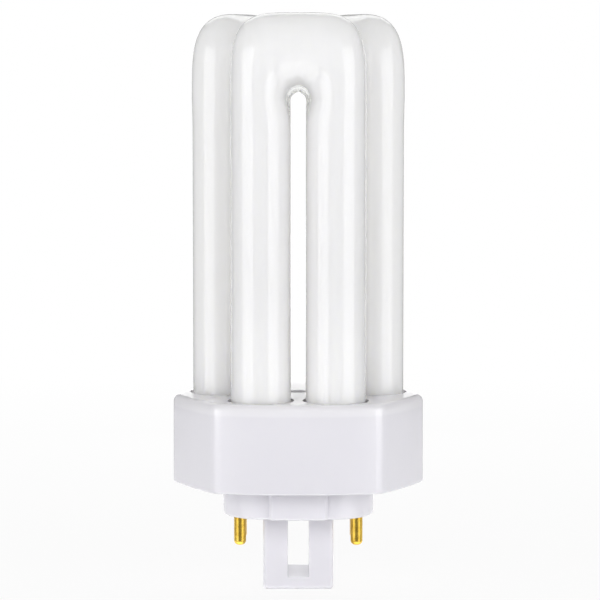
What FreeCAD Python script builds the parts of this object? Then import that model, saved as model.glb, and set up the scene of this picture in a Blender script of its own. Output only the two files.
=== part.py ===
"""Plug-in fluorescent lamp: three joined glass U tubes on a four-pin base.

Millimetres. Z runs along the lamp towards the glass. The origin is the centre
of the seating face, where the base rests on its holder: the key post and the
pins reach below it, and the collar and the glass stand above it. The first U
faces -Y, and the other two follow at thirds of a turn.
"""
import FreeCAD, Part
import Sketcher
import math
import os

SIZES = {
    # glass
    "tube_diameter": 11.5,
    "leg_gap": 2.9,
    "loop_gap": 4.16,
    "glass_reach": 74.4,
    "bend_height": 15.3,
    "bend_squareness": 4.0,
    "leg_tail": 10.8,
    "bridge_diameter": 5.0,
    "bridge_drop": 8.2,
    "pinch_width": 10.4,
    "pinch_thickness": 3.2,
    "pinch_length": 1.2,
    "tip_diameter": 3.0,
    "tip_length": 1.2,
    # collar
    "wide_margin": 2.55,
    "narrow_margin": 5.61,
    "side_bulge": 60.0,
    "corner_radius": 3.8,
    "collar_height": 17.2,
    "collar_lean": 0.35,
    "collar_wall": 1.3,
    "deck_thickness": 1.8,
    "deck_round": 1.3,
    "rim_round": 0.4,
    "leg_clearance": 0.65,
    "vent_diameter": 4.0,
    "rib_width": 1.4,
    "rib_depth": 2.4,
    "cement_depth": 3.2,
    # base cap
    "shoulder_corner": 8.5,
    "shoulder_height": 5.9,
    "shoulder_wall": 1.4,
    "shoulder_round": 0.5,
    "seat_thickness": 2.0,
    "plate_recess": 0.8,
    "plate_thickness": 2.0,
    "plate_clearance": 0.1,
    "pad_width": 11.5,
    "pad_slope": 0.6,
    "pad_height": 0.9,
    "post_width": 13.8,
    "post_depth": 12.4,
    "post_length": 15.4,
    "post_round": 0.8,
    "window_width": 4.2,
    "window_floor": 2.5,
    # contacts
    "pin_spacing": 23.0,
    "pin_pitch": 7.0,
    "pin_diameter": 2.4,
    "pin_length": 6.95,
    "pin_round": 0.9,
    "shank_diameter": 2.7,
    "pin_bore": 1.3,
    "pin_bore_depth": 4.4,
    "pin_bead_diameter": 3.2,
    "pin_bead_height": 0.6,
    "bead_clearance": 0.2,
    "boss_diameter": 4.8,
    "boss_height": 2.4,
    # lead wires
    "lead_diameter": 0.6,
    "lead_spread": 3.0,
    "lead_height": 9.6,
    "lead_bend": 0.8,
}

FULL_TURN = 360
QUARTER_TURN = 90
SQUARE_SIDES = 4
LOOP_COUNT = 3                      # U tubes, and sides of each kind on the collar
BEND_STEP = 15                      # degrees between the sections of a bend
FRONT = -90                         # direction of the first U, degrees about Z
LOOP_TURN = FULL_TURN / LOOP_COUNT
HALF_LOOP_TURN = LOOP_TURN / 2
PAIR_TURN = HALF_LOOP_TURN / 2      # from a U's own direction to the line to the next U
TOLERANCE = 0.001                   # smaller than any step of the lamp

doc = FreeCAD.newDocument("fluorescent_lamp")
sheet = doc.addObject("Spreadsheet::Sheet", "Sizes")
for row, (alias, number) in enumerate(SIZES.items(), start=1):
    sheet.set(f"A{row}", alias)
    sheet.set(f"B{row}", str(number))
    sheet.setAlias(f"B{row}", alias)
doc.recompute()

# Heights above the seating face, and sizes that several pieces share
RIM = "Sizes.shoulder_height"
DECK = f"({RIM} + Sizes.collar_height)"
DECK_UNDERSIDE = f"({DECK} - Sizes.deck_thickness)"
PLATE = f"({RIM} + Sizes.plate_recess)"
PLATE_TOP = f"({PLATE} + Sizes.plate_thickness)"
TUBE_RADIUS = "(Sizes.tube_diameter / 2)"
NOTCH_RADIUS = "(Sizes.leg_gap / 2)"
LEG_X = f"({TUBE_RADIUS} + {NOTCH_RADIUS})"
BRIDGE_HALF = f"({TUBE_RADIUS} + Sizes.loop_gap / 2)"
LOOP_OFFSET = f"(({BRIDGE_HALF} + {LEG_X} * sin({PAIR_TURN})) / cos({PAIR_TURN}))"
WIDE_SIDE = f"({LOOP_OFFSET} + {TUBE_RADIUS} + Sizes.wide_margin)"
NARROW_REACH = f"({LEG_X} * sin({HALF_LOOP_TURN}) + {LOOP_OFFSET} * cos({HALF_LOOP_TURN}))"
NARROW_SIDE = f"({NARROW_REACH} + {TUBE_RADIUS} + Sizes.narrow_margin)"
NOTCH_CENTRE = f"({DECK} + Sizes.glass_reach - Sizes.bend_height - {NOTCH_RADIUS})"
LEG_END = f"({DECK} - Sizes.leg_tail)"
LEG_ROUND = f"({LEG_END} + {TUBE_RADIUS})"
SEAL_END = f"({LEG_END} - Sizes.tip_length)"
PIN_X = "(Sizes.pin_spacing / 2)"
PIN_Y = "(Sizes.pin_pitch / 2)"
BOSS_TOP = "(Sizes.seat_thickness + Sizes.boss_height)"
PIN_TOP = f"({BOSS_TOP} + Sizes.pin_bead_height)"
BORE_FLOOR = f"({PIN_TOP} - Sizes.pin_bore_depth)"
BEAD_ROOM = "(Sizes.pin_bead_diameter / 2 + Sizes.bead_clearance)"
SHOULDER_SIDE = f"({PIN_X} + {BEAD_ROOM} + Sizes.shoulder_wall)"


def evaluate(expression):
    """The plain number that an expression over the sheet gives."""
    return float(sheet.evalExpression(expression))


def bind(thing, **expressions):
    """Ties each named property of a thing to an expression."""
    for name, expression in expressions.items():
        thing.setExpression(name, expression)


def leg_position(side, loop):
    """Where a leg stands: side is 1 or -1 within its U, loop counts the U tubes."""
    turn = LOOP_TURN * loop
    x = f"({side} * {LEG_X} * cos({turn}) + {LOOP_OFFSET} * sin({turn}))"
    y = f"({side} * {LEG_X} * sin({turn}) - {LOOP_OFFSET} * cos({turn}))"
    return x, y


def primitive(kind, name, x="0", y="0", z="0", rotation="rotation(vector(0; 0; 1); 0)", **sizes):
    """A Part solid or curve, placed and sized by expressions."""
    thing = doc.addObject(kind, name)
    bind(thing, Placement=f"placement(vector({x}; {y}; {z}); {rotation})", **sizes)
    return thing


# Glass


def make_bend():
    """The moulded bend of one U: a fan of ellipses about the notch, skinned smoothly.

    At each angle the section's outer end lies on a squared arch over both legs,
    the superellipse |x / reach| ^ n + |z / rise| ^ n = 1 about the notch's centre,
    its inner end lies on the notch, and its depth is the tube's own. A quarter of
    an ellipse has three control points, so each of the four faces carries three
    curves through like points of all the sections. The curves leave the legs
    upright, each at the speed of its own turn about the notch.
    """
    notch = evaluate(NOTCH_RADIUS)
    depth = evaluate(TUBE_RADIUS)
    reach = notch + 2 * depth
    rise = evaluate("Sizes.bend_height") + notch
    power = evaluate("Sizes.bend_squareness")
    centre = FreeCAD.Vector(0, -evaluate(LOOP_OFFSET), evaluate(NOTCH_CENTRE))
    angles = [math.radians(angle) for angle in range(0, FULL_TURN // 2 + 1, BEND_STEP)]

    def control_curve(outward, sideways):
        points = []
        for angle in angles:
            across, up = abs(math.cos(angle)) / reach, math.sin(angle) / rise
            arch = (across**power + up**power) ** (-1 / power)
            radius = (arch + notch) / 2 + outward * (arch - notch) / 2
            offset = FreeCAD.Vector(radius * math.cos(angle), sideways * depth, radius * math.sin(angle))
            points.append(centre + offset)
        curve = Part.BSplineCurve()
        start = FreeCAD.Vector(0, 0, points[0].x)
        curve.interpolate(
            Points=points, Parameters=angles, InitialTangent=start, FinalTangent=-start, Scale=False
        )
        return curve

    quarters = [((1, 0), (1, 1), (0, 1)), ((0, 1), (-1, 1), (-1, 0))]
    quarters += [((-1, 0), (-1, -1), (0, -1)), ((0, -1), (1, -1), (1, 0))]
    weights = (1, math.sqrt(0.5), 1)
    surfaces = []
    for corners in quarters:
        curves = [control_curve(*corner) for corner in corners]
        along = curves[0]
        surface = Part.BSplineSurface()
        surface.buildFromPolesMultsKnots(
            [curve.getPoles() for curve in curves],
            [3, 3],
            along.getMultiplicities(),
            [0, 1],
            along.getKnots(),
            False,
            False,
            2,
            along.Degree,
            [[weight] * along.NbPoles for weight in weights],
        )
        surfaces.append(surface)
    faces = [surface.toShape() for surface in surfaces]
    for end in (angles[0], angles[-1]):
        rim = Part.Wire([surface.vIso(end).toShape() for surface in surfaces])
        faces.append(Part.Face(rim))
    shell = Part.makeCompound(faces)
    shell.sewShape()
    solid = Part.makeSolid(shell.Shells[0])
    if solid.Volume < 0:
        solid.reverse()
    bend = doc.addObject("Part::Feature", "bend")
    bend.Shape = solid
    return bend


def make_loop():
    """One U: its bend on two straight legs."""
    pieces = [make_bend()]
    for side, name in ((1, "right_leg"), (-1, "left_leg")):
        x, y = leg_position(side, 0)
        height = f"{NOTCH_CENTRE} - {LEG_ROUND}"
        pieces.append(primitive("Part::Cylinder", name, x, y, LEG_ROUND, Radius=TUBE_RADIUS, Height=height))
    loop = doc.addObject("Part::MultiFuse", "loop")
    loop.Shapes = pieces
    return loop


def turned_copy(shape, loop):
    """The same U again, turned about the lamp's axis."""
    copy = doc.addObject("Part::Compound", f"loop_{loop}")
    copy.Links = [shape]
    copy.Placement = FreeCAD.Placement(
        FreeCAD.Vector(), FreeCAD.Rotation(FreeCAD.Vector(0, 0, 1), LOOP_TURN * loop)
    )
    return copy


def make_bridge(name, side):
    """The short tube that joins a leg of the first U to its neighbour's nearest leg."""
    x, y = leg_position(side, 0)
    heading = QUARTER_TURN - side * PAIR_TURN
    return primitive(
        "Part::Cylinder",
        name,
        x,
        y,
        f"{DECK} - Sizes.bridge_drop",
        rotation=f"rotation(vector(0; 0; 1); {heading}) * rotation(vector(0; 1; 0); {QUARTER_TURN})",
        Radius="Sizes.bridge_diameter / 2",
        Height=f"2 * {BRIDGE_HALF}",
    )


def make_pinch(name, side, loop):
    """A leg's end pressed flat round its lead wires."""
    x, y = leg_position(side, loop)
    round_end = primitive(
        "Part::Ellipse", name + "_round", x, y, LEG_ROUND, MajorRadius=TUBE_RADIUS, MinorRadius=TUBE_RADIUS
    )
    flat = {"MajorRadius": "Sizes.pinch_width / 2", "MinorRadius": "Sizes.pinch_thickness / 2"}
    pressed = primitive("Part::Ellipse", name + "_flat", x, y, f"{SEAL_END} + Sizes.pinch_length", **flat)
    foot = primitive("Part::Ellipse", name + "_foot", x, y, SEAL_END, **flat)
    pinch = doc.addObject("Part::Loft", name)
    pinch.Sections = [round_end, pressed, foot]
    pinch.Solid = True
    pinch.Ruled = True
    return pinch


def make_vessel():
    """The whole discharge vessel: one sealed run of glass through all three U tubes.

    It starts and ends in the two rear legs, whose feet are pinched shut. The
    other feet are blown round, and one carries the tip left by pumping it out.
    """
    loop = make_loop()
    pieces = [loop] + [turned_copy(loop, count) for count in range(1, LOOP_COUNT)]
    pieces += [make_bridge("right_bridge", 1), make_bridge("left_bridge", -1)]
    pieces += [make_pinch("right_pinch", 1, 1), make_pinch("left_pinch", -1, 2)]
    for side, loop_number in ((1, 0), (-1, 0), (-1, 1), (1, 2)):
        x, y = leg_position(side, loop_number)
        name = f"foot_{len(pieces)}"
        pieces.append(primitive("Part::Sphere", name, x, y, LEG_ROUND, Radius=TUBE_RADIUS))
    x, y = leg_position(1, 0)
    tip = {"Radius": "Sizes.tip_diameter / 2", "Height": f"{LEG_ROUND} - {SEAL_END}"}
    pieces.append(primitive("Part::Cylinder", "pump_tip", x, y, SEAL_END, **tip))
    vessel = doc.addObject("Part::MultiFuse", "discharge_vessel")
    vessel.Shapes = pieces
    vessel.Label = "discharge_vessel"
    return vessel


# Sketches


def new_body(label):
    body = doc.addObject("PartDesign::Body", label)
    body.Label = label
    return body


def origin_feature(body, role):
    return next(feature for feature in body.Origin.OriginFeatures if feature.Role == role)


def new_sketch(body, name, height="0", role="XY_Plane"):
    """A sketch on one of the body's own planes, raised to a height."""
    sketch = body.newObject("Sketcher::SketchObject", name)
    sketch.AttachmentSupport = (origin_feature(body, role), [""])
    sketch.MapMode = "FlatFace"
    sketch.setExpression("AttachmentOffset.Base.z", height)
    return sketch


def drive(sketch, kind, *where, expression):
    """Adds a dimension and ties it to its expression."""
    index = sketch.addConstraint(Sketcher.Constraint(kind, *where, evaluate(expression)))
    sketch.setExpression(f"Constraints[{index}]", expression)


def place_point(sketch, curve, vertex, x, y):
    """Fixes a point of a curve at x and y from the sketch's origin."""
    for kind, axis, expression in (("DistanceX", -2, x), ("DistanceY", -1, y)):
        value = evaluate(expression)
        if abs(value) < TOLERANCE:
            sketch.addConstraint(Sketcher.Constraint("PointOnObject", curve, vertex, axis))
        elif value > 0:
            drive(sketch, kind, -1, 1, curve, vertex, expression=expression)
        else:
            drive(sketch, kind, curve, vertex, -1, 1, expression=f"-({expression})")


def draw_circle(sketch, x, y, diameter):
    centre = FreeCAD.Vector(evaluate(x), evaluate(y), 0)
    circle = Part.Circle(centre, FreeCAD.Vector(0, 0, 1), evaluate(diameter) / 2)
    curve = sketch.addGeometry(circle)
    drive(sketch, "Diameter", curve, expression=diameter)
    place_point(sketch, curve, 3, x, y)


def draw_polygon(sketch, corners):
    """A closed outline of straight lines through corners given as expressions."""
    points = [FreeCAD.Vector(evaluate(x), evaluate(y), 0) for x, y in corners]
    following = points[1:] + points[:1]
    curves = [sketch.addGeometry(Part.LineSegment(a, b)) for a, b in zip(points, following)]
    for curve, other in zip(curves, curves[1:] + curves[:1]):
        sketch.addConstraint(Sketcher.Constraint("Coincident", curve, 2, other, 1))
    for curve, (x, y) in zip(curves, corners):
        place_point(sketch, curve, 1, x, y)


def draw_smooth_outline(sketch, arcs):
    """A closed outline of arcs that run into each other without a corner.

    Each arc is a centre, a radius and where it starts and ends; the centres of
    those that carry an x and y expression are fixed, and the rest follow.
    """
    curves = []
    for centre, radius, start, end, expressions in arcs:
        first = math.atan2(start.y - centre.y, start.x - centre.x)
        last = math.atan2(end.y - centre.y, end.x - centre.x)
        circle = Part.Circle(centre, FreeCAD.Vector(0, 0, 1), evaluate(radius))
        last += math.tau if last < first else 0
        curve = sketch.addGeometry(Part.ArcOfCircle(circle, first, last))
        curves.append(curve)
        drive(sketch, "Radius", curve, expression=radius)
        if expressions:
            place_point(sketch, curve, 3, *expressions)
    for curve, other in zip(curves, curves[1:] + curves[:1]):
        sketch.addConstraint(Sketcher.Constraint("Tangent", curve, 2, other, 1))


def draw_collar_outline(sketch, inset):
    """The collar's outline, moved in by an inset: bulged sides and round corners.

    Sides that face a U alternate with narrower ones that stand further out.
    Both kinds bulge by one radius, and a corner touches both its sides from
    inside, so its centre lies as far from one side's centre as from the other's.
    """
    bulge = evaluate("Sizes.side_bulge")
    reach = bulge - evaluate("Sizes.corner_radius")
    sides = []
    for count in range(2 * LOOP_COUNT):
        distance = NARROW_SIDE if count % 2 else WIDE_SIDE
        angle = FRONT + count * HALF_LOOP_TURN
        x = f"({distance} - Sizes.side_bulge) * cos({angle})"
        y = f"({distance} - Sizes.side_bulge) * sin({angle})"
        sides.append((FreeCAD.Vector(evaluate(x), evaluate(y), 0), (x, y)))
    corners = []
    for (centre, _), (other, _) in zip(sides, sides[1:] + sides[:1]):
        across = other - centre
        outward = FreeCAD.Vector(-across.y, across.x, 0).normalize()
        outward *= -math.copysign(1, outward.dot(centre + other))
        corners.append((centre + other) / 2 + outward * math.sqrt(reach**2 - (across.Length / 2) ** 2))
    side_radius = f"Sizes.side_bulge - ({inset})"
    corner_radius = f"Sizes.corner_radius - ({inset})"
    arcs = []
    for count, (centre, expressions) in enumerate(sides):
        before, after = corners[count - 1], corners[count]
        following = sides[(count + 1) % len(sides)][0]
        start = centre + (before - centre).normalize() * evaluate(side_radius)
        end = centre + (after - centre).normalize() * evaluate(side_radius)
        next_start = following + (after - following).normalize() * evaluate(side_radius)
        arcs.append((centre, side_radius, start, end, expressions))
        arcs.append((after, corner_radius, end, next_start, None))
    draw_smooth_outline(sketch, arcs)


def draw_rounded_square(sketch, side, radius):
    """A square about the origin with round corners; side is half its width."""
    half = evaluate(side)
    flat = half - evaluate(radius)
    axis = FreeCAD.Vector(0, 0, 1)
    lines = []
    arcs = []
    for count in range(SQUARE_SIDES):
        turn = FreeCAD.Rotation(axis, QUARTER_TURN * count)
        start = turn.multVec(FreeCAD.Vector(half, -flat, 0))
        end = turn.multVec(FreeCAD.Vector(half, flat, 0))
        centre = turn.multVec(FreeCAD.Vector(flat, flat, 0))
        lines.append(sketch.addGeometry(Part.LineSegment(start, end)))
        circle = Part.Circle(centre, axis, evaluate(radius))
        first, last = (math.radians(QUARTER_TURN * quarter) for quarter in (count, count + 1))
        arcs.append(sketch.addGeometry(Part.ArcOfCircle(circle, first, last)))
    for count, (line, arc) in enumerate(zip(lines, arcs)):
        direction = "Horizontal" if count % 2 else "Vertical"
        sketch.addConstraint(Sketcher.Constraint(direction, line))
        sketch.addConstraint(Sketcher.Constraint("Tangent", line, 2, arc, 1))
        sketch.addConstraint(Sketcher.Constraint("Tangent", arc, 2, lines[(count + 1) % SQUARE_SIDES], 1))
        drive(sketch, "Radius", arc, expression=radius)
    right, top, left, bottom = lines
    drive(sketch, "DistanceX", -1, 1, right, 1, expression=side)
    drive(sketch, "DistanceY", -1, 1, top, 1, expression=side)
    drive(sketch, "DistanceX", left, 1, -1, 1, expression=side)
    drive(sketch, "DistanceY", bottom, 1, -1, 1, expression=side)


# Features


def extrude(body, kind, sketch, length=None, reverse=False):
    """A Pad or a Pocket of a sketch: without a length it goes right through.

    A Pocket has to take something away.
    """
    before = body.Shape.Volume if kind == "Pocket" else 0
    feature = body.newObject(f"PartDesign::{kind}", f"{sketch.Name}_{kind.lower()}")
    feature.Profile = sketch
    feature.Reversed = reverse
    if length is None:
        feature.Type = "ThroughAll"
    else:
        feature.setExpression("Length", length)
    sketch.Visibility = False
    doc.recompute()
    if kind == "Pocket" and body.Shape.Volume > before - TOLERANCE:
        raise RuntimeError(f"{feature.Name} takes nothing away")
    return feature


def repeat_round(body, feature, count):
    """The feature again, in equal steps about the lamp's axis."""
    pattern = body.newObject("PartDesign::PolarPattern", f"{feature.Name}_ring")
    pattern.Originals = [feature]
    pattern.Axis = (origin_feature(body, "Z_Axis"), [""])
    pattern.Angle = FULL_TURN
    pattern.Occurrences = count
    body.Tip = pattern
    doc.recompute()
    return pattern


def dress(body, kind, name, base, edges, expression):
    """Rounds or bevels edges of a feature."""
    feature = body.newObject(f"PartDesign::{kind}", name)
    feature.Base = (base, edges)
    feature.setExpression("Radius" if kind == "Fillet" else "Size", expression)
    doc.recompute()
    return feature


def edges_where(shape, test):
    """Names of the edges whose box passes a test."""
    return [f"Edge{index}" for index, edge in enumerate(shape.Edges, start=1) if test(edge.BoundBox)]


def flat_at(height):
    """A test for edges that lie flat at a height."""
    level = evaluate(height)
    return lambda box: max(abs(box.ZMin - level), abs(box.ZMax - level)) < TOLERANCE


# Collar


def make_collar():
    """The moulded collar: a leaning skirt under a deck with a hole for each leg."""
    body = new_body("collar")
    outline = new_sketch(body, "collar_outline", RIM)
    draw_collar_outline(outline, "0")
    skirt = extrude(body, "Pad", outline, "Sizes.collar_height")
    skirt.setExpression("TaperAngle", "-Sizes.collar_lean")
    doc.recompute()
    top_edges = edges_where(skirt.Shape, flat_at(DECK))
    rounded = dress(body, "Fillet", "deck_edge", skirt, top_edges, "Sizes.deck_round")
    rim_edges = edges_where(rounded.Shape, flat_at(RIM))
    dress(body, "Fillet", "rim_edge", rounded, rim_edges, "Sizes.rim_round")
    inside = new_sketch(body, "collar_inside", RIM)
    draw_collar_outline(inside, "Sizes.collar_wall")
    extrude(body, "Pocket", inside, "Sizes.collar_height - Sizes.deck_thickness", reverse=True)
    for side, name in ((1, "right"), (-1, "left")):
        hole = new_sketch(body, f"{name}_leg_hole", DECK)
        draw_circle(hole, *leg_position(side, 0), "Sizes.tube_diameter + 2 * Sizes.leg_clearance")
        cut = extrude(body, "Pocket", hole)
        repeat_round(body, cut, LOOP_COUNT)
    vent = new_sketch(body, "vent", DECK)
    draw_circle(vent, "0", "0", "Sizes.vent_diameter")
    extrude(body, "Pocket", vent)
    rib = new_sketch(body, "rib", PLATE_TOP)
    outer = f"Sizes.collar_wall / 2 - {WIDE_SIDE}"
    inner = f"Sizes.collar_wall + Sizes.rib_depth - {WIDE_SIDE}"
    half = "Sizes.rib_width / 2"
    draw_polygon(rib, [(f"-{half}", outer), (half, outer), (half, inner), (f"-{half}", inner)])
    rib_pad = extrude(body, "Pad", rib, f"{DECK_UNDERSIDE} - Sizes.cement_depth - {PLATE_TOP}")
    repeat_round(body, rib_pad, LOOP_COUNT)
    return body


def make_cement():
    """The cement poured under the deck, which grips the legs."""
    body = new_body("tube_cement")
    outline = new_sketch(body, "cement_outline", f"{DECK_UNDERSIDE} - Sizes.cement_depth")
    draw_collar_outline(outline, "Sizes.collar_wall")
    extrude(body, "Pad", outline, "Sizes.cement_depth")
    for side, name in ((1, "right"), (-1, "left")):
        hole = new_sketch(body, f"{name}_leg_bed", DECK_UNDERSIDE)
        draw_circle(hole, *leg_position(side, 0), "Sizes.tube_diameter")
        cut = extrude(body, "Pocket", hole)
        repeat_round(body, cut, LOOP_COUNT)
    return body


# Base cap


def make_cap():
    """The moulded base: plate, shoulder and key post, hollow above the seating face."""
    body = new_body("base_cap")
    plate = new_sketch(body, "plate", PLATE)
    draw_collar_outline(plate, "Sizes.collar_wall + Sizes.plate_clearance")
    extrude(body, "Pad", plate, "Sizes.plate_thickness")
    shoulder = new_sketch(body, "shoulder")
    draw_rounded_square(shoulder, SHOULDER_SIDE, "Sizes.shoulder_corner")
    extrude(body, "Pad", shoulder, PLATE)
    foot = "Sizes.pad_width / 2"
    flat = "Sizes.pad_width / 2 - Sizes.pad_slope"
    back = f"{SHOULDER_SIDE} - Sizes.shoulder_wall / 2"
    front = f"{SHOULDER_SIDE} + Sizes.pad_height"
    for name, sign in (("front", "-"), ("rear", "")):
        pad = new_sketch(body, f"{name}_pad")
        corners = [("-", foot, back), ("-", foot, SHOULDER_SIDE), ("-", flat, front)]
        corners += [("", flat, front), ("", foot, SHOULDER_SIDE), ("", foot, back)]
        draw_polygon(pad, [(f"{left}({x})", f"{sign}({y})") for left, x, y in corners])
        solid = extrude(body, "Pad", pad, PLATE)
    seat_edges = edges_where(solid.Shape, flat_at("0"))
    dress(body, "Fillet", "seat_edge", solid, seat_edges, "Sizes.shoulder_round")
    post = new_sketch(body, "post")
    x, y = "Sizes.post_width / 2", "Sizes.post_depth / 2"
    draw_polygon(post, [(f"-{x}", f"-{y}"), (x, f"-{y}"), (x, y), (f"-{x}", y)])
    post_pad = extrude(body, "Pad", post, "Sizes.post_length", reverse=True)
    below = edges_where(post_pad.Shape, lambda box: box.ZMin < -TOLERANCE)
    dress(body, "Fillet", "post_edges", post_pad, below, "Sizes.post_round")
    hollow = new_sketch(body, "hollow", PLATE_TOP)
    hollow_corner = "Sizes.shoulder_corner - Sizes.shoulder_wall"
    draw_rounded_square(hollow, f"{SHOULDER_SIDE} - Sizes.shoulder_wall", hollow_corner)
    extrude(body, "Pocket", hollow, f"{PLATE_TOP} - Sizes.seat_thickness")
    for index, (x, y) in enumerate(pin_positions()):
        boss = new_sketch(body, f"boss_{index}", "Sizes.seat_thickness / 2")
        draw_circle(boss, x, y, "Sizes.boss_diameter")
        extrude(body, "Pad", boss, f"{BOSS_TOP} - Sizes.seat_thickness / 2")
        hole = new_sketch(body, f"pin_hole_{index}", BOSS_TOP)
        draw_circle(hole, x, y, "Sizes.shank_diameter")
        extrude(body, "Pocket", hole)
    window = new_sketch(body, "window", "Sizes.post_depth", role="XZ_Plane")
    half = "Sizes.window_width / 2"
    floor = "Sizes.window_floor - Sizes.post_length"
    draw_polygon(window, [(f"-{half}", floor), (half, floor), (half, "0"), (f"-{half}", "0")])
    extrude(body, "Pocket", window, "2 * Sizes.post_depth")
    return body


# Contacts and lead wires


def pin_positions():
    """The four contacts, a pair on each side of the post: right pair first."""
    return [(f"{sx}{PIN_X}", f"{sy}{PIN_Y}") for sx in ("", "-") for sy in ("", "-")]


def make_pin(number, x, y):
    """A turned contact pin, with a domed tip and a thicker shank from the seating face up.

    A bead seats on its boss, and a bore in the shank takes the lead wire.
    """
    body = new_body(f"contact_pin_{number}")
    profile = new_sketch(body, f"pin_profile_{number}", role="XZ_Plane")
    outer = "Sizes.pin_diameter / 2"
    shank = "Sizes.shank_diameter / 2"
    bore = "Sizes.pin_bore / 2"
    bead = "Sizes.pin_bead_diameter / 2"
    tip = "-Sizes.pin_length"
    corners = [("0", tip), (outer, tip), (outer, "0"), (shank, "0"), (shank, BOSS_TOP), (bead, BOSS_TOP)]
    corners += [(bead, PIN_TOP), (bore, PIN_TOP), (bore, BORE_FLOOR), ("0", BORE_FLOOR)]
    draw_polygon(profile, corners)
    turned = body.newObject("PartDesign::Revolution", f"pin_turned_{number}")
    turned.Profile = profile
    turned.ReferenceAxis = (profile, ["V_Axis"])
    turned.Angle = FULL_TURN
    doc.recompute()
    tip_edges = edges_where(turned.Shape, flat_at(tip))
    dress(body, "Fillet", f"pin_tip_{number}", turned, tip_edges, "Sizes.pin_round")
    body.setExpression("Placement.Base.x", x)
    body.setExpression("Placement.Base.y", y)
    return body


def make_lead(number, pin, seal):
    """A lead wire: up out of its pin's bore, across, and up into the pinched glass."""
    body = new_body(f"lead_wire_{number}")
    span = f"sqrt(pow({seal[0]} - ({pin[0]}); 2) + pow({seal[1]} - ({pin[1]}); 2))"
    level = "Sizes.lead_height"
    bend = evaluate("Sizes.lead_bend")
    path = new_sketch(body, f"lead_path_{number}", role="XZ_Plane")
    reach, foot, run, top = (evaluate(value) for value in (span, BORE_FLOOR, level, SEAL_END))
    rise = path.addGeometry(Part.LineSegment(FreeCAD.Vector(0, foot), FreeCAD.Vector(0, run - bend)))
    lower = Part.Circle(FreeCAD.Vector(bend, run - bend), FreeCAD.Vector(0, 0, 1), bend)
    first = path.addGeometry(Part.ArcOfCircle(lower, math.pi / 2, math.pi))
    across = path.addGeometry(Part.LineSegment(FreeCAD.Vector(bend, run), FreeCAD.Vector(reach - bend, run)))
    upper = Part.Circle(FreeCAD.Vector(reach - bend, run + bend), FreeCAD.Vector(0, 0, 1), bend)
    second = path.addGeometry(Part.ArcOfCircle(upper, -math.pi / 2, 0))
    end = path.addGeometry(Part.LineSegment(FreeCAD.Vector(reach, run + bend), FreeCAD.Vector(reach, top)))
    for joint in ((rise, 2, first, 2), (first, 1, across, 1), (across, 2, second, 1), (second, 2, end, 1)):
        path.addConstraint(Sketcher.Constraint("Tangent", *joint))
    place_point(path, rise, 1, "0", BORE_FLOOR)
    place_point(path, end, 2, span, SEAL_END)
    path.addConstraint(Sketcher.Constraint("Vertical", rise))
    path.addConstraint(Sketcher.Constraint("Vertical", end))
    path.addConstraint(Sketcher.Constraint("Horizontal", across))
    drive(path, "DistanceY", -1, 1, across, 1, expression=level)
    drive(path, "Radius", first, expression="Sizes.lead_bend")
    drive(path, "Radius", second, expression="Sizes.lead_bend")
    profile = new_sketch(body, f"lead_profile_{number}", BORE_FLOOR)
    draw_circle(profile, "0", "0", "Sizes.lead_diameter")
    doc.recompute()
    pipe = body.newObject("PartDesign::AdditivePipe", f"lead_pipe_{number}")
    pipe.Profile = profile
    pipe.Spine = (path, [])
    heading = f"atan2({seal[1]} - ({pin[1]}); {seal[0]} - ({pin[0]}))"
    place = f"vector({pin[0]}; {pin[1]}; 0)"
    body.setExpression("Placement", f"placement({place}; rotation(vector(0; 0; 1); {heading}))")
    doc.recompute()
    return body


def make_contacts():
    """Four pins, and the lead wires that join each pair to its electrode."""
    bodies = []
    seals = (1, 1), (1, 1), (-1, 2), (-1, 2)
    for number, ((x, y), (side, loop)) in enumerate(zip(pin_positions(), seals), start=1):
        seal_x, seal_y = leg_position(side, loop)
        outward = side if number % 2 else -side
        seal = (f"({seal_x} + {outward} * Sizes.lead_spread / 2)", seal_y)
        bodies.append(make_pin(number, x, y))
        bodies.append(make_lead(number, (x, y), seal))
    return bodies


def main():
    parts = [make_vessel(), make_collar(), make_cement(), make_cap()] + make_contacts()
    doc.recompute()
    for thing in doc.Objects:
        if "Invalid" in thing.State or "Error" in thing.State:
            raise RuntimeError(f"{thing.Label} failed")
    os.makedirs("parts", exist_ok=True)
    for part in parts:
        if part.Shape.isNull() or not part.Shape.isValid():
            raise RuntimeError(f"{part.Label} has no valid shape")
        part.Shape.exportStep(f"parts/{part.Label}.step")
        print(f"{part.Label}: {len(part.Shape.Solids)} solid, {part.Shape.Volume:.1f} mm3")


main()
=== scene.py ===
import math

import bpy
import numpy as np
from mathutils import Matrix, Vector


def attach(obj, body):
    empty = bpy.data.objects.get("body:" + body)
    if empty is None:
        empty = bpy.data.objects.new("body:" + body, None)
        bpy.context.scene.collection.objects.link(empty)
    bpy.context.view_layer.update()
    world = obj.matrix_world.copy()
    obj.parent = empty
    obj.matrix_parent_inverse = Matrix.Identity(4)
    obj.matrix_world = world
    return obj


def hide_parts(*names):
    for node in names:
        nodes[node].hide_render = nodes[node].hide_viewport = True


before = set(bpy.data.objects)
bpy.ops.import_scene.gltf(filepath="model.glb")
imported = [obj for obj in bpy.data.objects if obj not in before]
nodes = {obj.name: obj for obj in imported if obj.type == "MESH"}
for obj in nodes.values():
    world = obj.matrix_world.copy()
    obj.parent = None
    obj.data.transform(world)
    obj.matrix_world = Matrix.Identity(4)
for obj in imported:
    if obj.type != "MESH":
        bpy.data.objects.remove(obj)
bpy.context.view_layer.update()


# Discharge vessel: three U tubes of drawn clear glass in a ring, joined near their feet by two
# small bridges. Each bend was blown into a mould that squared its outer corners. Four feet are
# blown round, one of them with the tip left by pumping, and two are pinched flat round the leads.
tube_radius = 0.00575
leg_x = 0.0072
loop_offset = 0.013198
notch_radius = 0.00145
notch_height = 0.08075
bend_reach = notch_radius + 2 * tube_radius
bend_rise = 0.01675
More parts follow.
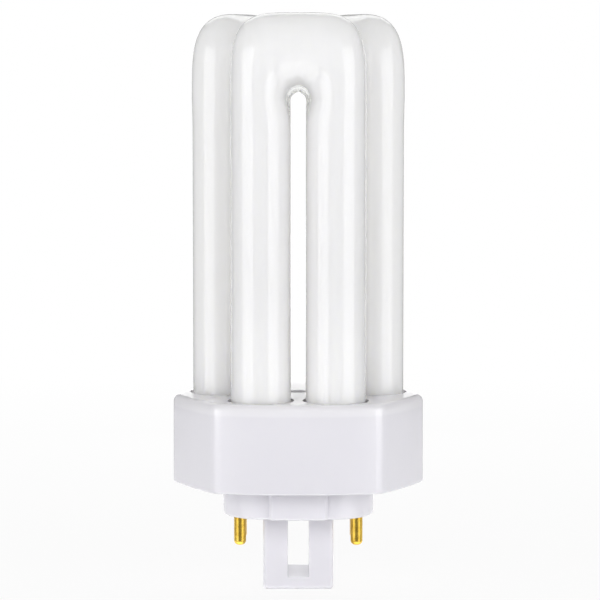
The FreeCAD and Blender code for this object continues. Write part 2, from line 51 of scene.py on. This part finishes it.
bend_power = 4.0
foot_height = 0.01805
seal_end = 0.0111
pinch_top = 0.0123
pinch_half = (0.0052, 0.0016)
pinch_round = 0.0005
bridge_radius = 0.0025
bridge_height = 0.0149
tip_radius = 0.0015
clear_top = 0.0014
clear_side = 0.0009
clear_drop = 0.006
loop_turns = [math.radians(120 * count) for count in range(3)]
pinched_feet = {(1, 1), (2, -1)}  # the U's number and the side of each
points_around = 96
leg_rows, bend_rows, foot_rows, pinch_rows, rod_rows = 60, 97, 13, 9, 9
around = np.linspace(0, 2 * math.pi, points_around, endpoint=False)

powder_dark = (0.946, 0.933, 0.924)
powder_light = (0.96, 0.947, 0.938)
powder_cream_and_painted_shade = (0.948, 0.933, 0.912)
powder_depth = (0.03, 0.03, 0.0275)
# Between these heights the powder turns warmer and a little darker towards the deck: partly a cream
# tone of the powder, partly painted shade near the deck. It also glows less deeply there.
shade_bottom, shade_top = 0.023, 0.055
glow_bottom, glow_top = 0.022, 0.045


def leg_centre(turn, side):
    """A leg's middle: half the U's spacing along it and its offset outwards, turned about Z."""
    x = side * leg_x * math.cos(turn) + loop_offset * math.sin(turn)
    y = side * leg_x * math.sin(turn) - loop_offset * math.cos(turn)
    return x, y


def leg_rings(turn, side, heights, wide, deep):
    """Rings of a leg: at each height, an ellipse about its middle with half axes wide and deep."""
    x, y = leg_centre(turn, side)
    angle = turn + (around if side > 0 else math.pi - around)
    rings = np.empty((len(heights), len(around), 3))
    rings[..., 0] = x + np.outer(wide, np.cos(angle))
    rings[..., 1] = y + np.outer(deep, np.sin(angle))
    rings[..., 2] = np.asarray(heights)[:, None]
    return rings


def squared_arch(fan):
    """The bend's outer line: |x / reach| ^ n + |z / rise| ^ n = 1 at each angle of the fan."""
    sideways = (abs(np.cos(fan)) / bend_reach) ** bend_power
    upwards = (np.sin(fan) / bend_rise) ** bend_power
    return (sideways + upwards) ** (-1 / bend_power)


def fan_rings(turn, fan, drop, inner, outer, deep):
    """Rings about the notch: ellipses from inner to outer radius at each angle of the fan.

    Each is deep along the lamp's radius, and those of the legs hang below the notch by drop.
    """
    fan, drop, inner, outer, deep = (
        np.broadcast_to(value, fan.shape)[:, None] for value in (fan, drop, inner, outer, deep)
    )
    radius = (outer + inner) / 2 + (outer - inner) / 2 * np.cos(around)
    along = radius * np.cos(fan)
    across = -loop_offset + deep * np.sin(around)
    x = along * math.cos(turn) - across * math.sin(turn)
    y = along * math.sin(turn) + across * math.cos(turn)
    return np.stack([x, y, notch_height - drop + radius * np.sin(fan)], axis=-1)


def over_the_bend(drop, fan_rows):
    """Each ring's angle of the fan and its drop: up one leg, over the bend and down the other."""
    fan = np.linspace(0, math.pi, fan_rows)[1:-1]
    fans = np.concatenate([np.zeros(len(drop)), fan, np.full(len(drop), math.pi)])
    drops = np.concatenate([drop, np.zeros(len(fan)), drop[::-1]])
    return fans, drops


def clear_width(fan, drop):
    """The strip without powder round the notch.

    Its width goes from the side's to the top's with the square of the fan angle's sine, and down
    the legs it falls to nothing with the square of what is left of the drop.
    """
    over = clear_side + (clear_top - clear_side) * np.sin(fan) ** 2
    return over * np.clip(1 - drop / clear_drop, 0, 1) ** 2


def foot_rings(turn, side, pinched):
    """Rings from a foot's end up to the straight leg, and the height of the point that closes them.

    A blown foot is a half sphere. A pinched one runs straight from the leg's circle to a flat
    ellipse, goes on a little, and closes over a quarter round.
    """
    quarter = np.linspace(0, math.pi / 2, foot_rows)[1:]
    if not pinched:
        size = tube_radius * np.sin(quarter)
        heights = foot_height - tube_radius * np.cos(quarter)
        return leg_rings(turn, side, heights, size, size), foot_height - tube_radius
    widening = np.linspace(0, 1, pinch_rows)
    rounded = seal_end + pinch_round * (1 - np.cos(quarter))
    heights = np.concatenate([rounded, np.linspace(pinch_top, foot_height, pinch_rows)])
    blend = np.concatenate([np.zeros(len(quarter)), widening])
    inset = np.concatenate([pinch_round * (1 - np.sin(quarter)), np.zeros(pinch_rows)])
    wide, deep = (half + (tube_radius - half) * blend - inset for half in pinch_half)
    return leg_rings(turn, side, heights, wide, deep), seal_end


def close_rings(rings, first_point, last_point):
    """A tube's points, quads and end triangles: rings joined in order, each end run to a point."""
    rows, columns = rings.shape[:2]
    points = np.vstack([rings.reshape(-1, 3), first_point, last_point])
    index = np.arange(rows * columns).reshape(rows, columns)
    beside = np.roll(index, -1, axis=1)
    quads = np.stack([index[:-1], beside[:-1], beside[1:], index[1:]], axis=-1).reshape(-1, 4)
    first, last = np.full(columns, rows * columns), np.full(columns, rows * columns + 1)
    start = np.stack([first, beside[0], index[0]], axis=-1)
    end = np.stack([index[-1], beside[-1], last], axis=-1)
    return points, quads, np.vstack([start, end])


def u_tube(count):
    """One whole U: rings up one leg from its foot, fanned over the bend, and down to the other."""
    turn = loop_turns[count]
    feet, ends = [], []
    for side in (1, -1):
        rings, end = foot_rings(turn, side, (count, side) in pinched_feet)
        feet.append(rings)
        ends.append((*leg_centre(turn, side), end))
    drop = notch_height - np.linspace(foot_height, notch_height, leg_rows)[1:]
    fans, drops = over_the_bend(drop, bend_rows)
    inner = notch_radius + clear_width(fans, drops)
    bend = fan_rings(turn, fans, drops, inner, squared_arch(fans), tube_radius)
    return close_rings(np.vstack([feet[0], bend, feet[1][::-1]]), ends[0], ends[1])


def round_rod(start, end, radius):
    """A straight round rod with half-sphere ends: rings about the line from start to end."""
    start, end = np.array(start), np.array(end)
    axis = (end - start) / np.linalg.norm(end - start)
    side = np.cross(axis, (0, 0, 1)) if abs(axis[2]) < 0.9 else np.array((1.0, 0, 0))
    side /= np.linalg.norm(side)
    other = np.cross(axis, side)
    quarter = np.linspace(0, math.pi / 2, rod_rows)[1:]
    size = radius * np.concatenate([np.sin(quarter), np.sin(quarter)[::-1]])
    place = np.concatenate([-radius * np.cos(quarter), radius * np.cos(quarter)[::-1]])
    by_start = np.arange(len(size))[:, None] < len(quarter)
    base = np.where(by_start, start, end) + np.outer(place, axis)
    circle = np.outer(np.cos(around), side) + np.outer(np.sin(around), other)
    rings = base[:, None, :] + size[:, None, None] * circle[None]
    return close_rings(rings, start - radius * axis, end + radius * axis)


def bridge_ends(side):
    """The middles of the two legs that a bridge joins, at its height."""
    neighbour = 1 if side > 0 else 2
    near = leg_centre(loop_turns[0], side)
    far = leg_centre(loop_turns[neighbour], -side)
    return (*near, bridge_height), (*far, bridge_height)


def make_piece(name, surfaces):
    """One smooth-shaded object from several closed surfaces, riding on the lamp."""
    points, faces, offset = [], [], 0
    for surface_points, quads, triangles in surfaces:
        points.append(surface_points)
        faces += (quads + offset).tolist() + (triangles + offset).tolist()
        offset += len(surface_points)
    mesh = bpy.data.meshes.new(name)
    mesh.from_pydata(np.vstack(points).tolist(), [], faces)
    mesh.polygons.foreach_set("use_smooth", np.ones(len(faces), bool))
    mesh.update()
    piece = bpy.data.objects.new(name, mesh)
    bpy.context.scene.collection.objects.link(piece)
    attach(piece, "root")
    return piece


def new_material(name):
    """An empty node material with its shader and the piece's own coordinates."""
    material = bpy.data.materials.new(name)
    material.use_nodes = True
    tree = material.node_tree
    shader = tree.nodes["Principled BSDF"]
    place = tree.nodes.new("ShaderNodeTexCoord").outputs["Object"]
    return material, tree, shader, place


def split_vector(tree, vector):
    """The X, Y and Z sockets of a vector socket."""
    parts = tree.nodes.new("ShaderNodeSeparateXYZ")
    tree.links.new(vector, parts.inputs["Vector"])
    return parts.outputs["X"], parts.outputs["Y"], parts.outputs["Z"]


def stretched_noise(tree, place, scale, stretch, detail):
    """A noise over coordinates that are scaled by stretch first; returns its value socket."""
    mapping = tree.nodes.new("ShaderNodeMapping")
    mapping.inputs["Scale"].default_value = stretch
    tree.links.new(place, mapping.inputs["Vector"])
    noise = tree.nodes.new("ShaderNodeTexNoise")
    noise.inputs["Scale"].default_value = scale
    noise.inputs["Detail"].default_value = detail
    tree.links.new(mapping.outputs["Vector"], noise.inputs["Vector"])
    return noise.outputs["Fac"]


def value_range(tree, value, low, high, from_low=0.3, from_high=0.7):
    """Spreads a value over a range; returns the result's socket."""
    node = tree.nodes.new("ShaderNodeMapRange")
    node.inputs["From Min"].default_value = from_low
    node.inputs["From Max"].default_value = from_high
    node.inputs["To Min"].default_value = low
    node.inputs["To Max"].default_value = high
    tree.links.new(value, node.inputs["Value"])
    return node.outputs["Result"]


def mixed_colour(tree, factor, first, second):
    """Two colours mixed by a value socket; returns the result's socket."""
    node = tree.nodes.new("ShaderNodeMix")
    node.data_type = "RGBA"
    for socket, colour in ((node.inputs["A"], first), (node.inputs["B"], second)):
        if isinstance(colour, bpy.types.NodeSocket):
            tree.links.new(colour, socket)
        else:
            socket.default_value = (*colour, 1)
    tree.links.new(factor, node.inputs["Factor"])
    return node.outputs["Result"]


def add_bump(tree, shader, height, distance):
    """A bump of a given depth in metres on a shader's normal."""
    bump = tree.nodes.new("ShaderNodeBump")
    bump.inputs["Distance"].default_value = distance
    bump.inputs["Strength"].default_value = 1.0
    tree.links.new(height, bump.inputs["Height"])
    tree.links.new(bump.outputs["Normal"], shader.inputs["Normal"])


glass_surfaces = [u_tube(count) for count in range(3)]
glass_surfaces += [round_rod(*bridge_ends(side), bridge_radius) for side in (1, -1)]
tip_x, tip_y = leg_centre(loop_turns[0], 1)
glass_surfaces.append(
    round_rod((tip_x, tip_y, foot_height), (tip_x, tip_y, seal_end + tip_radius), tip_radius)
)
coated_tubes = make_piece("coated_tubes", glass_surfaces)
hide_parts("discharge_vessel")

coated_glass, tree, shader, place = new_material("powder_coated_glass")
height = split_vector(tree, place)[2]
streaks = value_range(tree, stretched_noise(tree, place, 450, (1, 1, 0.05), 3), 0.0, 1.0)
powder_colour = mixed_colour(tree, streaks, powder_dark, powder_light)
# Painted shade with a cream tone: the powder turns warmer and a little darker towards the deck.
cream_and_painted_shade_near_deck = value_range(tree, height, 1.0, 0.0, shade_bottom, shade_top)
coat_colour = mixed_colour(tree, cream_and_painted_shade_near_deck, powder_colour, powder_cream_and_painted_shade)
tree.links.new(coat_colour, shader.inputs["Base Color"])
drawn_lines = stretched_noise(tree, place, 320, (1, 1, 0.06), 2)
tree.links.new(value_range(tree, drawn_lines, 0.28, 0.36), shader.inputs["Roughness"])
add_bump(tree, shader, drawn_lines, 0.000005)
shader.inputs["Specular IOR Level"].default_value = 0.05
shader.inputs["Coat Weight"].default_value = 1.0
shader.inputs["Coat Roughness"].default_value = 0.01
shader.inputs["Coat IOR"].default_value = 1.55
shader.inputs["Subsurface Weight"].default_value = 1.0
shader.inputs["Subsurface Radius"].default_value = powder_depth
glow_depth = value_range(tree, height, 0.15, 1.0, glow_bottom, glow_top)
tree.links.new(glow_depth, shader.inputs["Subsurface Scale"])
coated_tubes.data.materials.append(coated_glass)


# Clear glass at the notches: the mould gathers the glass thick between a bend's two legs, and the
# powder hardly reaches it, so a clear crescent with a trace of haze shows over each notch and
# runs out down the legs.
bead_share = 0.94
bead_depth = 1.5
bead_gap = 0.00002
bead_leg_rows, bead_bend_rows = 33, 65
haze = (0.93, 0.94, 0.93, 1)


def notch_bead(count):
    """The clear bead of one U: ellipses as wide as the strip without powder, along its arch."""
    drop = clear_drop * np.linspace(0.98, 0, bead_leg_rows)
    fans, drops = over_the_bend(drop, bead_bend_rows)
    width = bead_share * clear_width(fans, drops)
    inner = notch_radius + bead_gap
    rings = fan_rings(loop_turns[count], fans, drops, inner, inner + width, bead_depth * width)
    return close_rings(rings, rings[0].mean(axis=0), rings[-1].mean(axis=0))


clear_notches = make_piece("clear_notches", [notch_bead(count) for count in range(3)])
clear_notches.visible_shadow = False

clear_glass, tree, shader, place = new_material("clear_glass")
shader.inputs["Base Color"].default_value = haze
shader.inputs["Transmission Weight"].default_value = 1.0
shader.inputs["IOR"].default_value = 1.5
mould_marks = stretched_noise(tree, place, 900, (1, 1, 1), 2)
tree.links.new(value_range(tree, mould_marks, 0.0, 0.04), shader.inputs["Roughness"])
add_bump(tree, shader, mould_marks, 0.00002)
clear_notches.data.materials.append(clear_glass)


# Collar and base: white plastic with a faint lilac cast, moulded as two parts. The collar is a
# leaning skirt under a deck with a hole for each leg, and the base carries the shoulder, the
# pads and the key post. They have a fine spark-eroded grain, and the deck is polished. The
# deck's top is painted lighter than the skirt: painted light from above.
satin_roughness = 0.245
deck_roughness = 0.1
# Painted light: the deck's top is lighter than the skirt, as if lit from above.
deck_painted_light_colour = (0.89, 0.88, 0.93)
# The skirt's satin turns to the deck's polish between the first two heights, and its colour turns
# to the deck's lighter one, painted light, between the last two.
polish_bottom, polish_top = 0.0196, 0.0208
painted_light_bottom, painted_light_top = 0.0207, 0.0212


def new_group(name, inputs, outputs):
    """A shader group: inputs and outputs as names with a socket kind and a starting value."""
    group = bpy.data.node_groups.new(name, "ShaderNodeTree")
    group.interface.new_socket("Place", in_out="INPUT", socket_type="NodeSocketVector")
    for socket, (kind, value) in inputs.items():
        made = group.interface.new_socket(socket, in_out="INPUT", socket_type=f"NodeSocket{kind}")
        made.default_value = value
    for socket, kind in outputs.items():
        group.interface.new_socket(socket, in_out="OUTPUT", socket_type=f"NodeSocket{kind}")
    return group, group.nodes.new("NodeGroupInput"), group.nodes.new("NodeGroupOutput")


def add_group(tree, group, place, **values):
    """A finish group in a material, fed with the piece's coordinates and its own values."""
    node = tree.nodes.new("ShaderNodeGroup")
    node.node_tree = group
    tree.links.new(place, node.inputs["Place"])
    for name, value in values.items():
        node.inputs[name].default_value = value
    return node


def combined(tree, operation, first, second):
    """Two value sockets put together by a maths operation; returns the result's socket."""
    node = tree.nodes.new("ShaderNodeMath")
    node.operation = operation
    tree.links.new(first, node.inputs[0])
    tree.links.new(second, node.inputs[1])
    return node.outputs["Value"]


moulded, group_in, group_out = new_group(
    "moulded_plastic",
    {
        "Colour": ("Color", (0.8, 0.8, 0.8, 1)),
        "Flow colour": ("Color", (0.8, 0.8, 0.8, 1)),
        "Grain scale": ("Float", 2500.0),
        "Roughness": ("Float", satin_roughness),
    },
    {"Colour": "Color", "Roughness": "Float", "Height": "Float"},
)
flow = moulded.nodes.new("ShaderNodeTexNoise")
flow.inputs["Scale"].default_value = 90
flow.inputs["Detail"].default_value = 3
moulded.links.new(group_in.outputs["Place"], flow.inputs["Vector"])
grain = moulded.nodes.new("ShaderNodeTexNoise")
grain.inputs["Detail"].default_value = 2
moulded.links.new(group_in.outputs["Place"], grain.inputs["Vector"])
moulded.links.new(group_in.outputs["Grain scale"], grain.inputs["Scale"])
flow_colour = mixed_colour(
    moulded,
    value_range(moulded, flow.outputs["Fac"], 0.0, 1.0),
    group_in.outputs["Colour"],
    group_in.outputs["Flow colour"],
)
moulded.links.new(flow_colour, group_out.inputs["Colour"])
flow_gloss = value_range(moulded, flow.outputs["Fac"], -0.02, 0.02)
satin = combined(moulded, "ADD", group_in.outputs["Roughness"], flow_gloss)
moulded.links.new(satin, group_out.inputs["Roughness"])
moulded.links.new(grain.outputs["Fac"], group_out.inputs["Height"])

for name, colour, flow_tint, depth in (
    ("collar", (0.84, 0.83, 0.88), (0.85, 0.84, 0.89), 0.002),
    # The base is a little lighter than the collar: painted light that lifts the shade under the
    # collar.
    ("base_cap", (0.855, 0.845, 0.895), (0.865, 0.855, 0.905), 0.012),
):
    plastic, tree, shader, place = new_material(f"white_{name}")
    finish = add_group(
        tree, moulded, place, **{"Colour": (*colour, 1), "Flow colour": (*flow_tint, 1)}
    )
    height = split_vector(tree, place)[2]
    polish = value_range(
        tree, height, satin_roughness, deck_roughness, polish_bottom, polish_top
    )
    tree.links.new(polish, finish.inputs["Roughness"])
    # Painted light on the deck's top: above these heights the colour turns to the lighter one.
    painted_light_on_deck = value_range(tree, height, 0.0, 1.0, painted_light_bottom, painted_light_top)
    plastic_colour = mixed_colour(tree, painted_light_on_deck, finish.outputs["Colour"], deck_painted_light_colour)
    tree.links.new(plastic_colour, shader.inputs["Base Color"])
    tree.links.new(finish.outputs["Roughness"], shader.inputs["Roughness"])
    add_bump(tree, shader, finish.outputs["Height"], 0.00001)
    shader.inputs["IOR"].default_value = 1.6
    shader.inputs["Specular IOR Level"].default_value = 0.8
    shader.inputs["Subsurface Weight"].default_value = 1.0
    shader.inputs["Subsurface Radius"].default_value = (depth, depth, depth)
    nodes[name].material_slots[0].material = plastic


# Contact pins and lead wires: the pins are turned brass, polished gold, with fine rings from the
# lathe. The leads are dull drawn nickel-iron wire with the same fine marks across them.
metal_finish, group_in, group_out = new_group(
    "worked_metal",
    {
        "Bright": ("Color", (0.8, 0.8, 0.8, 1)),
        "Dull": ("Color", (0.6, 0.6, 0.6, 1)),
        "Line scale": ("Float", 3000.0),
    },
    {"Colour": "Color", "Roughness": "Float", "Height": "Float"},
)
lines = metal_finish.nodes.new("ShaderNodeTexWave")
lines.bands_direction = "Z"
lines.inputs["Distortion"].default_value = 1.5
lines.inputs["Detail"].default_value = 2
metal_finish.links.new(group_in.outputs["Place"], lines.inputs["Vector"])
metal_finish.links.new(group_in.outputs["Line scale"], lines.inputs["Scale"])
tarnish = metal_finish.nodes.new("ShaderNodeTexNoise")
tarnish.inputs["Scale"].default_value = 600
metal_finish.links.new(group_in.outputs["Place"], tarnish.inputs["Vector"])
metal_colour = mixed_colour(
    metal_finish,
    value_range(metal_finish, tarnish.outputs["Fac"], 0.0, 1.0),
    group_in.outputs["Bright"],
    group_in.outputs["Dull"],
)
metal_finish.links.new(metal_colour, group_out.inputs["Colour"])
metal_roughness = value_range(metal_finish, tarnish.outputs["Fac"], 0.08, 0.16)
metal_finish.links.new(metal_roughness, group_out.inputs["Roughness"])
metal_finish.links.new(lines.outputs["Fac"], group_out.inputs["Height"])

for prefix, bright, dull, line_scale in (
    ("contact_pin", (0.86, 0.60, 0.11), (0.70, 0.44, 0.06), 4000.0),
    ("lead_wire", (0.62, 0.61, 0.58), (0.50, 0.49, 0.47), 2500.0),
):
    metal, tree, shader, place = new_material(f"{prefix}_metal")
    values = {"Bright": (*bright, 1), "Dull": (*dull, 1), "Line scale": line_scale}
    finish = add_group(tree, metal_finish, place, **values)
    shader.inputs["Metallic"].default_value = 1.0
    tree.links.new(finish.outputs["Colour"], shader.inputs["Base Color"])
    tree.links.new(finish.outputs["Roughness"], shader.inputs["Roughness"])
    add_bump(tree, shader, finish.outputs["Height"], 0.000004)
    for number in range(1, 5):
        nodes[f"{prefix}_{number}"].material_slots[0].material = metal


# Tube cement: off-white potting cement poured under the deck round the legs, chalky and uneven
# where it set. It shows only through the gaps round the glass and the vent.
cement_dark = (0.52, 0.51, 0.48)
cement_light = (0.66, 0.65, 0.62)
cement, tree, shader, place = new_material("potting_cement")
set_marks = stretched_noise(tree, place, 700, (1, 1, 1), 6)
chalk = value_range(tree, set_marks, 0.0, 1.0)
tree.links.new(mixed_colour(tree, chalk, cement_dark, cement_light), shader.inputs["Base Color"])
shader.inputs["Roughness"].default_value = 0.9
add_bump(tree, shader, set_marks, 0.0002)
nodes["tube_cement"].material_slots[0].material = cement


# Studio floor: wide pale paper that fades into the white background. It takes the lamp's shadow,
# and gloss doesn't see it, because the room below has a table of its own for the gloss.
floor_height = -0.0154
floor_radii = np.array([0.08, 0.16, 0.25, 0.35])
fade_start, fade_end = 0.05, 0.33


def seen_directly(tree, path):
    """One for rays from the camera or through clear glass, else nought; returns its socket."""
    through_glass = path.outputs["Is Transmission Ray"]
    return combined(tree, "MAXIMUM", path.outputs["Is Camera Ray"], through_glass)


def length_of(tree, vector):
    """The length of a vector socket, as a socket."""
    node = tree.nodes.new("ShaderNodeVectorMath")
    node.operation = "LENGTH"
    tree.links.new(vector, node.inputs[0])
    return node.outputs["Value"]


rings = floor_radii[:, None] * np.ones(points_around)
level = np.full(rings.shape, floor_height)
floor_points = np.stack([rings * np.cos(around), rings * np.sin(around), level], axis=-1)
index = np.arange(rings.size).reshape(rings.shape)
beside = np.roll(index, -1, axis=1)
quads = np.stack([index[:-1], index[1:], beside[1:], beside[:-1]], axis=-1).reshape(-1, 4)
floor_mesh = bpy.data.meshes.new("floor")
floor_mesh.from_pydata(
    floor_points.reshape(-1, 3).tolist(), [], quads.tolist() + [index[0].tolist()]
)
floor = bpy.data.objects.new("floor", floor_mesh)
bpy.context.scene.collection.objects.link(floor)
floor.visible_glossy = False

paper, tree, shader, place = new_material("white_floor")
shader.inputs["Base Color"].default_value = (0.9, 0.9, 0.9, 1)
shader.inputs["Roughness"].default_value = 0.9
shader.inputs["Specular IOR Level"].default_value = 0.2
white = tree.nodes.new("ShaderNodeEmission")
path = tree.nodes.new("ShaderNodeLightPath")
fade = value_range(tree, length_of(tree, place), 0.88, 1.0, fade_start, fade_end)
mix = tree.nodes.new("ShaderNodeMixShader")
tree.links.new(combined(tree, "MULTIPLY", seen_directly(tree, path), fade), mix.inputs["Fac"])
tree.links.new(shader.outputs["BSDF"], mix.inputs[1])
tree.links.new(white.outputs["Emission"], mix.inputs[2])
tree.links.new(mix.outputs["Shader"], tree.nodes["Material Output"].inputs["Surface"])
floor_mesh.materials.append(paper)


# Studio room: white where the camera looks at it. Gloss sees a white panel behind in a dark wall,
# a dull wall in front, and a table below that is bright behind and right under the lamp. Other
# rays see a soft light that is stronger behind.
panel_scale = (3.3, 0.0, 6.0)
dark_wall = (0.1, 0.1, 0.1)
front_wall = (0.15, 0.15, 0.15)
table_behind = (1.2, 1.2, 1.2)
table_in_front = (0.45, 0.45, 0.45)
table_below = (2.1, 2.1, 2.1)
light_in_front = (0.36, 0.36, 0.358)
light_behind = (1.35, 1.35, 1.34)
plain_white = (1, 1, 1)

world = bpy.data.worlds.new("room")
bpy.context.scene.world = world
world.use_nodes = True
tree = world.node_tree
path = tree.nodes.new("ShaderNodeLightPath")
direction = tree.nodes.new("ShaderNodeTexCoord").outputs["Generated"]
backwards, upwards = split_vector(tree, direction)[1:]
aside = tree.nodes.new("ShaderNodeVectorMath")
aside.operation = "MULTIPLY"
aside.inputs[1].default_value = panel_scale
tree.links.new(direction, aside.inputs[0])
beyond_panel = value_range(tree, length_of(tree, aside.outputs["Vector"]), 0.0, 1.0, 0.9, 1.1)
back = mixed_colour(tree, beyond_panel, plain_white, dark_wall)
low_down = value_range(tree, upwards, 1.0, 0.0, -0.16, -0.13)
right_below = value_range(tree, upwards, 1.0, 0.0, -0.6, -0.45)
back = mixed_colour(tree, low_down, back, table_behind)
front = mixed_colour(tree, low_down, front_wall, table_in_front)
front = mixed_colour(tree, right_below, front, table_below)
behind = value_range(tree, backwards, 0.0, 1.0, -0.1, 0.1)
walls = mixed_colour(tree, behind, front, back)
stronger_behind = value_range(tree, backwards, 0.0, 1.0, 0.3, 0.95)
soft_light = mixed_colour(tree, stronger_behind, light_in_front, light_behind)
unseen = mixed_colour(tree, path.outputs["Is Glossy Ray"], soft_light, walls)
room_colour = mixed_colour(tree, seen_directly(tree, path), unseen, plain_white)
tree.links.new(room_colour, tree.nodes["Background"].inputs["Color"])


# Studio lamps and camera: a large soft lamp on each side, one in front and one behind from above,
# and a small low one behind for the deck's slot. None shows through the clear glass.
picture_width = 600
focal_length_in_pixels = 2495.9
camera_place = (0, -0.4904, 0.0881)
camera_tilt = math.radians(4.904)


def soft_lamp(name, position, aim, width, height, brightness):
    """A rectangular soft lamp of a given surface brightness, turned towards a point."""
    lamp = bpy.data.lights.new(name, "AREA")
    lamp.shape = "RECTANGLE"
    lamp.size, lamp.size_y = width, height
    lamp.energy = brightness * math.pi * width * height
    fitting = bpy.data.objects.new(name, lamp)
    fitting.location = position
    fitting.rotation_euler = (Vector(aim) - Vector(position)).to_track_quat("-Z", "Y").to_euler()
    fitting.visible_transmission = False
    bpy.context.scene.collection.objects.link(fitting)
    return fitting


soft_lamp("left_lamp", (-0.47, -0.38, 0.09), (0, 0, 0.06), 0.50, 0.42, 2.0)
soft_lamp("right_lamp", (0.47, -0.38, 0.09), (0, 0, 0.06), 0.50, 0.42, 2.0)
front_lamp = soft_lamp("front_lamp", (0, -0.85, 0.42), (0, 0, 0.04), 0.50, 0.40, 3.35)
front_lamp.visible_glossy = False
soft_lamp("back_lamp", (0, 0.50, 0.45), (0, 0, 0.06), 0.60, 0.30, 1.2)
deck_lamp = soft_lamp("deck_lamp", (0, 0.20, 0.028), (0, 0, -0.01), 0.08, 0.036, 1.3)
deck_lamp.visible_camera = False

camera_data = bpy.data.cameras.new("camera")
camera_data.sensor_width = 36
camera_data.lens = camera_data.sensor_width * focal_length_in_pixels / picture_width
camera_data.shift_x = 1.7 / picture_width
camera_data.shift_y = -0.04
camera = bpy.data.objects.new("camera", camera_data)
camera.location = camera_place
camera.rotation_euler = (math.pi / 2 - camera_tilt, 0, 0)
bpy.context.scene.collection.objects.link(camera)
bpy.context.scene.camera = camera
bpy.context.scene.view_settings.view_transform = "Standard"
